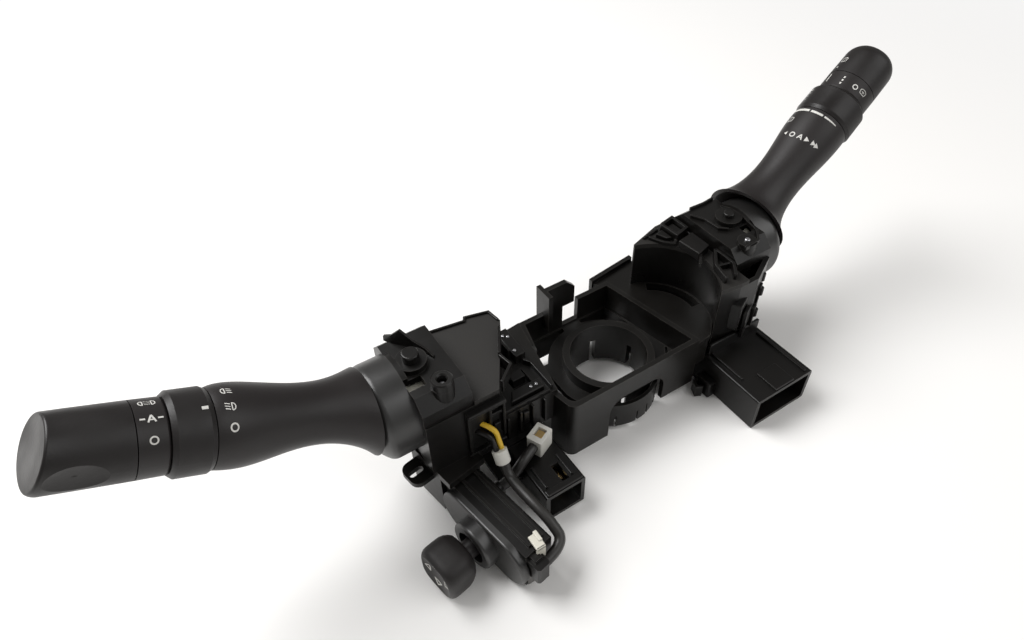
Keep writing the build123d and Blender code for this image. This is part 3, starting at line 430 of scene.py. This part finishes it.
# ---------------------------------------------------------------- left stalk
# Lights stalk: satin body with a flared skirt, a turning collar, a fixed ring with
# pad-printed symbols and a grained end knob that is rubbed smooth by use.
print_white = plastic("print_white", (0.62, 0.61, 0.58), (0.62, 0.61, 0.58), 0.55, depth=0.004, clouds=900.0)
stalk_plastic = plastic("stalk_plastic", (0.0105, 0.0082, 0.0080), (0.022, 0.019, 0.018), 0.47, depth=0.05,
                        grain=1300.0, clouds=35.0, spread=0.16, gleam=0.42)
knob_plastic = plastic("knob_plastic", (0.0080, 0.0063, 0.0060), (0.026, 0.023, 0.022), 0.47, depth=0.06,
                       grain=1300.0, clouds=45.0, spread=0.30, gleam=0.42)
dress(stalk_plastic, "left_stalk", "left_spindle", "light_symbol_ring")
dress(knob_plastic, "fog_collar", "light_knob")


def barrel(point, heading, rise):
    """Frame of a barrel: X runs out along its axis from a point on it, in millimetres."""
    return (Matrix.Translation(Vector(point) * mm) @ Matrix.Rotation(radians(heading), 4, "Z")
            @ Matrix.Rotation(-radians(rise), 4, "Y"))


def arc(radius, start, end, count=9):
    """Points along an arc about a sign's middle, for a stroke."""
    angles = [radians(start + (end - start) * i / (count - 1)) for i in range(count)]
    return [(radius * cos(a), radius * sin(a)) for a in angles]


barrel_radius = 11.3
stroke_step, print_lift, print_reach = 0.4, 0.05, 20


def ribbon(shape, points, width, aim, surface):
    """Printed stroke along points, laid on a surface; width is one value or one per point."""
    widths = width if isinstance(width, tuple) else (width,) * len(points)
    dots = []
    for (a, b), (wa, wb) in zip(zip(points, points[1:]), zip(widths, widths[1:])):
        a, b = Vector(a), Vector(b)
        count = max(1, round((b - a).length / stroke_step))
        dots += [(a.lerp(b, i / count), wa + (wb - wa) * i / count) for i in range(count)]
    dots.append((Vector(points[-1]), widths[-1]))
    rows = []
    for i, (p, w) in enumerate(dots):
        before = dots[max(i - 1, 0)][0]
        after = dots[min(i + 1, len(dots) - 1)][0]
        if points[0] == points[-1] and i in (0, len(dots) - 1):
            before, after = dots[-2][0], dots[1][0]
        along = (after - before).normalized()
        across = Vector((-along.y, along.x)) * w / 2
        row = []
        for q in (p + across, p - across):
            start, way = aim(q)
            hit, normal, _, _ = surface.ray_cast(start, way)
            row.append(shape.verts.new(hit + normal * print_lift * mm))
        rows.append(row)
    for a, b in zip(rows, rows[1:]):
        shape.faces.new((a[0], b[0], b[1], a[1]))


def surface_of(node):
    """Search tree over a CAD node's surface."""
    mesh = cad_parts[node].data
    return BVHTree.FromPolygons([v.co for v in mesh.vertices], [tuple(p.vertices) for p in mesh.polygons])


def printed(name, node, body, place, signs, upright):
    """White symbols on a barrel.  A sign is its distance out, its angle, and its strokes."""
    shape, surface = bmesh.new(), surface_of(node)
    for out, angle, strokes in signs:
        def aim(q):
            along, round_it = (out + q.y, q.x) if upright else (out - q.x, q.y)
            turn = radians(angle) + round_it / barrel_radius
            start = Vector((along, print_reach * cos(turn), print_reach * sin(turn))) * mm
            way = place.to_3x3() @ Vector((0, -cos(turn), -sin(turn)))
            return place @ start, way
        for points, width in strokes:
            ribbon(shape, points, width, aim, surface)
    mount(name, mesh_of(name, shape), print_white, body)


def lamp_sign(turned, rays):
    """Half-round lamp with its rays, as on any light switch."""
    strokes = [([(0, -1.0), (0, 1.0)], 0.3), (arc(1.0, 90, -90 if turned > 0 else 270), 0.3)]
    for y in (-0.75, 0.0, 0.75):
        strokes.append(([(-0.5 * turned, y), (-1.9 * turned, y - rays * 0.5)], 0.26))
    return strokes


def shift(strokes, x):
    """Strokes moved sideways."""
    return [([(a + x, b) for a, b in points], width) for points, width in strokes]


ring_sign = [(arc(1.0, 0, 360, 25), 0.45)]
letter_a = [([(-1.0, -1.1), (0, 1.1)], 0.5), ([(0, 1.1), (1.0, -1.1)], 0.5),
            ([(-0.55, -0.35), (0.55, -0.35)], 0.4)]
side_lamps = shift(lamp_sign(-1, 0.0), 0.45 - 1.6) + shift(lamp_sign(1, 0.0), 1.6 - 0.45)
letter_between_bars = letter_a + [([(-3.0, 0), (-1.6, 0)], 0.5), ([(1.6, 0), (3.0, 0)], 0.5)]
left_barrel = barrel((-82.6, 7.1, 41.7), 180.0, 25.2)
printed("light_ring_signs", "light_symbol_ring", "left_lever", left_barrel,
        [(89.3, 102.0, side_lamps), (89.2, 71.5, letter_between_bars), (89.3, 40.1, ring_sign)], False)
printed("fog_collar_sign", "fog_collar", "fog_collar", left_barrel,
        [(75.6, 72.5, [([(-0.9, 0), (0.9, 0)], 0.9)])], False)
printed("left_stalk_signs", "left_stalk", "left_lever", left_barrel,
        [(69.0, 96.4, lamp_sign(-1, 0.8)), (68.8, 69.3, shift(lamp_sign(1, -0.8), 0.5)),
         (68.5, 41.7, ring_sign)], False)

# ---------------------------------------------------------------- right stalk
# Wiper stalk, built like the left one: washer and wiper symbols, a wedge of white
# bars for the wipe interval and arrows for the speeds.
dress(stalk_plastic, "right_stalk", "right_spindle", "wiper_symbol_ring")
dress(knob_plastic, "interval_collar", "wiper_knob")
right_barrel = barrel((66.7, 8.1, 40.2), 9.3, 29.2)
screen = [([(-1.3, -1.0), (-1.7, 0.6), (-0.9, 1.1), (0, 1.25), (0.9, 1.1), (1.7, 0.6), (1.3, -1.0),
            (-1.3, -1.0)], 0.28)]
screen_wiper = screen + [([(-0.2, -1.0), (0.7, 0.7)], 0.3)]
screen_washer = screen + [([(0, -0.5), (0, 0.5)], 0.3), ([(-0.8, 0.1), (0.8, 0.1)], 0.26)]
bar = [([(0, -2.1), (0, 2.1)], 0.55)]
dotted_bar = [([(0, y - 0.45), (0, y + 0.45)], 0.7) for y in (-1.6, 0.0, 1.6)]
arrow = [([(-0.9, 0), (1.0, 0)], (2.4, 0.05))]
back_arrow = [([(0.7, 0), (-0.8, 0)], (1.7, 0.05))]
double_arrow = shift(arrow, -0.8) + shift(arrow, 0.9)
printed("wiper_knob_signs", "wiper_knob", "wiper_knob", right_barrel,
        [(98.7, 52.0, screen_wiper), (94.6, 47.3, [([(0, -0.5), (0, 0.5)], 0.6)])], True)
printed("wiper_ring_signs", "wiper_symbol_ring", "right_lever", right_barrel,
        [(88.4, 27.0, screen_washer), (88.2, 49.0, bar), (87.6, 87.5, dotted_bar), (87.5, 119.4, ring_sign),
         (88.0, 141.0, screen_washer)], True)
grades = [([(-0.95 + 0.2 * i, 0), (0.95 - 0.2 * i, 0)], 0.34) for i in range(4)]
printed("interval_collar_signs", "interval_collar", "interval_collar", right_barrel,
        [(80.0 - 1.75 * i, 40.0, [grade]) for i, grade in enumerate(grades)], True)
bars = [(32.0, 75.0, 1.25, 1.15), (79.0, 105.0, 1.1, 0.95), (109.0, 138.0, 0.85, 0.4)]
wedge = []
for start, end, first_width, last_width in bars:
    half = radians(end - start) / 2 * barrel_radius
    wedge.append((68.4, (start + end) / 2, [([(-half, 0), (half, 0)], (first_width, last_width))]))
printed("right_stalk_signs", "right_stalk", "right_lever", right_barrel,
        wedge + [(63.1, 44.0, screen_wiper), (55.7, 58.4, back_arrow), (55.6, 76.3, ring_sign),
                 (55.8, 94.6, letter_a), (56.0, 110.3, arrow), (56.3, 130.1, double_arrow)], True)

# ---------------------------------------------------------------- tilt and reach switch
# Small four-way switch in a ribbed black box, with a dished knob that carries four
# printed arrows and a paler moulded end.
end_grey = plastic("end_grey", (0.13, 0.125, 0.118), (0.2, 0.19, 0.18), 0.5)
dress(case_plastic, "tilt_case", "tilt_plug")
dress(ball_gloss, "tilt_bezel")
dress(bracket_plastic, "tilt_bracket")
dress(nylon, "tilt_gimbal")
dress(stalk_plastic, "tilt_stem")
dress(steel, "tilt_cross_pin")
tilt_place = barrel((-84.0, -36.0, 7.5), 190.0, 0.0)
tilt_face = surface_of("tilt_knob")


face_reach = 40


def face_on(q):
    """Ray that meets the tilt knob's dished face at a point across it."""
    return tilt_place @ (Vector((face_reach, -q.x, q.y)) * mm), tilt_place.to_3x3() @ Vector((-1, 0, 0))


# rounded square knob with a dished face: place and half-width of each section, then the
# half-widths of the rings that lie in the dish
knob_sections = [(8.0, 6.0), (8.4, 6.9), (9.4, 7.7), (10.8, 8.45), (12.4, 8.9), (15.0, 9.0), (17.6, 9.0),
                 (18.9, 8.85), (19.8, 8.5), (20.4, 8.0), (20.75, 7.5)]
dish_radius, dish_centre, dish_edge = 30.0, 49.6, 20.9
dish_widths = (7.0, 6.0, 4.5, 3.0, 1.5)
knob_sides, squareness = 64, 3.4
pad = bmesh.new()
loops = []
for out, half in knob_sections + [(None, half) for half in dish_widths]:
    ring = bmesh.ops.create_circle(pad, segments=knob_sides, radius=1)["verts"]
    for v in ring:
        y, z = v.co.x, v.co.y
        reach = half / (abs(y) ** squareness + abs(z) ** squareness) ** (1 / squareness)
        x = out or min(dish_centre - (dish_radius ** 2 - reach ** 2) ** 0.5, dish_edge)
        v.co = tilt_place @ (Vector((x, reach * y, reach * z)) * mm)
    loops.append(list(dict.fromkeys(edge for v in ring for edge in v.link_edges)))
for a, b in zip(loops, loops[1:]):
    bmesh.ops.bridge_loops(pad, edges=a + b)
for end in (loops[0], loops[-1]):
    bmesh.ops.contextual_create(pad, geom=end)
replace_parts(piece("tilt_pad", pad, knob_plastic, "tilt_stem", smooth=True), "tilt_knob")

end_plate = bmesh.new()
box(end_plate, (-77.0, -71.4), (-55.7, -55.1), -2.0, 6.2, 0.15)
piece("tilt_end_plate", end_plate, end_grey, "housing")
latch = bmesh.new()
box(latch, (-71.2, -69.6), (-53.6, -49.4), 17.8, 20.2, 0.4)
box(latch, (-73.4, -69.8), (-55.9, -55.0), 11.0, 19.6, 0.3)
box(latch, (-73.4, -69.8), (-55.9, -50.0), 18.4, 19.6, 0.3)
piece("tilt_latch", latch, nylon, "housing")
arrow_corners = ((-1.9, 4.0), (0, 6.2), (1.9, 4.0), (-1.9, 4.0))
arrows = bmesh.new()
for turn in range(4):
    tips = [Matrix.Rotation(turn * pi / 2, 2) @ Vector(p) for p in arrow_corners]
    ribbon(arrows, [tuple(p) for p in tips], 0.6, face_on, tilt_face)
mount("tilt_arrows", mesh_of("tilt_arrows", arrows), print_white, "tilt_stem")

# ---------------------------------------------------------------- leads and their plugs
# A grey-black sheathed lead from the ferrule under the left case to the tilt switch's
# plug, a short branch to a white plug with a brass pin, and two thin wires.
lead_rubber = plastic("lead_rubber", (0.020, 0.0185, 0.017), (0.04, 0.037, 0.034), 0.42, grain=500.0,
                      depth=0.05)
yellow_sheath = plastic("yellow_sheath", (0.72, 0.46, 0.03), (0.75, 0.55, 0.1), 0.38, depth=0.01)
white_plastic = plastic("white_plastic", (0.66, 0.65, 0.6), (0.72, 0.71, 0.68), 0.45)
dress(white_plastic, "wire_ferrule", "branch_plug")


def lead(name, node, route, radius, material):
    """Round lead on one smooth line through its route's points."""
    line = bpy.data.curves.new(name, "CURVE")
    line.dimensions = "3D"
    line.bevel_depth = radius
    line.bevel_resolution = 5
    line.resolution_u = 16
    line.use_fill_caps = True
    spline = line.splines.new("NURBS")
    spline.points.add(len(route) - 1)
    for point, place in zip(spline.points, route):
        point.co = (*place, 1)
    spline.order_u = 3
    spline.use_endpoint_u = True
    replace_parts(mount(name, line, material, "housing"), node)


lead("sheathed_lead", "switch_lead",
     [(-0.065, -0.02165, 0.02184), (-0.065, -0.0244, 0.01707), (-0.0648, -0.032, 0.0176),
      (-0.064, -0.04, 0.018), (-0.0624, -0.048, 0.0162), (-0.06139, -0.05537, 0.011),
      (-0.07114, -0.05709, 0.011)],
     0.002, lead_rubber)
lead("branch", "branch_lead",
     [(-0.06843, -0.02412, 0.0115), (-0.06252, -0.02307, 0.0115), (-0.0566, -0.0222, 0.0172),
      (-0.0504, -0.0194, 0.0172)], 0.002, lead_rubber)
lead("wire_1", "yellow_wire",
     [(-0.0676, -0.011, 0.0355), (-0.0646, -0.0162, 0.0355), (-0.0639, -0.01695, 0.02998),
      (-0.0639, -0.0189, 0.0266)], 0.001, yellow_sheath)
lead("wire_2", "black_wire",
     [(-0.07, -0.011, 0.033), (-0.0669, -0.0163, 0.0334), (-0.0661, -0.01715, 0.02963),
      (-0.0661, -0.0189, 0.0266)], 0.001, case_plastic)

# ---------------------------------------------------------------- floor, light and camera
# A plain white table in a white room, with a large soft lamp behind on the left and a
# weaker one in front on the right.  The camera looks down from the near left.
table_half, table_level = 3.0, -3.0
shape = bmesh.new()
bmesh.ops.create_grid(shape, x_segments=1, y_segments=1, size=table_half,
                      matrix=Matrix.Translation((0, 0, table_level * mm)))
floor_mesh = mesh_of("floor", shape)
floor = bpy.data.objects.new("floor", floor_mesh)
bpy.context.scene.collection.objects.link(floor)
floor_white = bpy.data.materials.new("floor_white")
floor_white.use_nodes = True
floor_white.node_tree.nodes["Principled BSDF"].inputs["Base Color"].default_value = (0.93, 0.92, 0.905, 1)
floor_white.node_tree.nodes["Principled BSDF"].inputs["Roughness"].default_value = 0.8
floor_mesh.materials.append(floor_white)
# far from the switch the table fades into the white room, as seen by the camera only
node, link = floor_white.node_tree.nodes.new, floor_white.node_tree.links.new
place, far, fade = node("ShaderNodeTexCoord"), node("ShaderNodeVectorMath"), node("ShaderNodeMapRange")
far.operation = "LENGTH"
fade.inputs["From Min"].default_value = 0.3
fade.inputs["From Max"].default_value = 0.75
seen, share = node("ShaderNodeLightPath"), node("ShaderNodeMath")
share.operation = "MULTIPLY"
glow, blend = node("ShaderNodeEmission"), node("ShaderNodeMixShader")
link(place.outputs["Object"], far.inputs[0])
link(far.outputs["Value"], fade.inputs["Value"])
link(fade.outputs["Result"], share.inputs[0])
link(seen.outputs["Is Camera Ray"], share.inputs[1])
link(share.outputs["Value"], blend.inputs["Fac"])
link(floor_white.node_tree.nodes["Principled BSDF"].outputs["BSDF"], blend.inputs[1])
link(glow.outputs["Emission"], blend.inputs[2])
link(blend.outputs["Shader"], floor_white.node_tree.nodes["Material Output"].inputs["Surface"])

world = bpy.data.worlds.new("studio")
bpy.context.scene.world = world
world.use_nodes = True
world.node_tree.nodes["Background"].inputs["Color"].default_value = (1, 0.985, 0.96, 1)
# the room lights the object softly, and seen straight it is white
node = world.node_tree.nodes.new
path, level = node("ShaderNodeLightPath"), node("ShaderNodeMapRange")
level.inputs["To Min"].default_value = 0.28
level.inputs["To Max"].default_value = 1.0
world.node_tree.links.new(path.outputs["Is Camera Ray"], level.inputs["Value"])
world.node_tree.links.new(level.outputs["Result"], world.node_tree.nodes["Background"].inputs["Strength"])


def lamp(name, place, size, power):
    """Soft square lamp that looks at the switch."""
    light = bpy.data.lights.new(name, "AREA")
    light.size = size
    light.energy = power
    holder = bpy.data.objects.new(name, light)
    bpy.context.scene.collection.objects.link(holder)
    holder.location = place
    holder.rotation_euler = (-Vector(place)).to_track_quat("-Z", "Y").to_euler()


lamp("key", (-0.45, 0.55, 0.9), 0.7, 14)
lamp("fill", (0.5, -0.6, 0.8), 0.9, 4)

camera_place = Vector((-0.137344, -0.151331, 0.243442))
heading, dip, tilt = 0.542874, 0.786679, -0.038635
camera_data = bpy.data.cameras.new("camera")
camera_data.sensor_width = 36.0
camera_data.lens = 721.3 / 1024 * camera_data.sensor_width
camera_data.clip_start = 0.01
camera = bpy.data.objects.new("camera", camera_data)
bpy.context.scene.collection.objects.link(camera)
camera.matrix_world = (Matrix.Translation(camera_place) @ Matrix.Rotation(-heading, 4, "Z")
                       @ Matrix.Rotation(pi / 2 - dip, 4, "X") @ Matrix.Rotation(tilt, 4, "Z"))
bpy.context.scene.camera = camera
bpy.context.scene.view_settings.view_transform = "Standard"
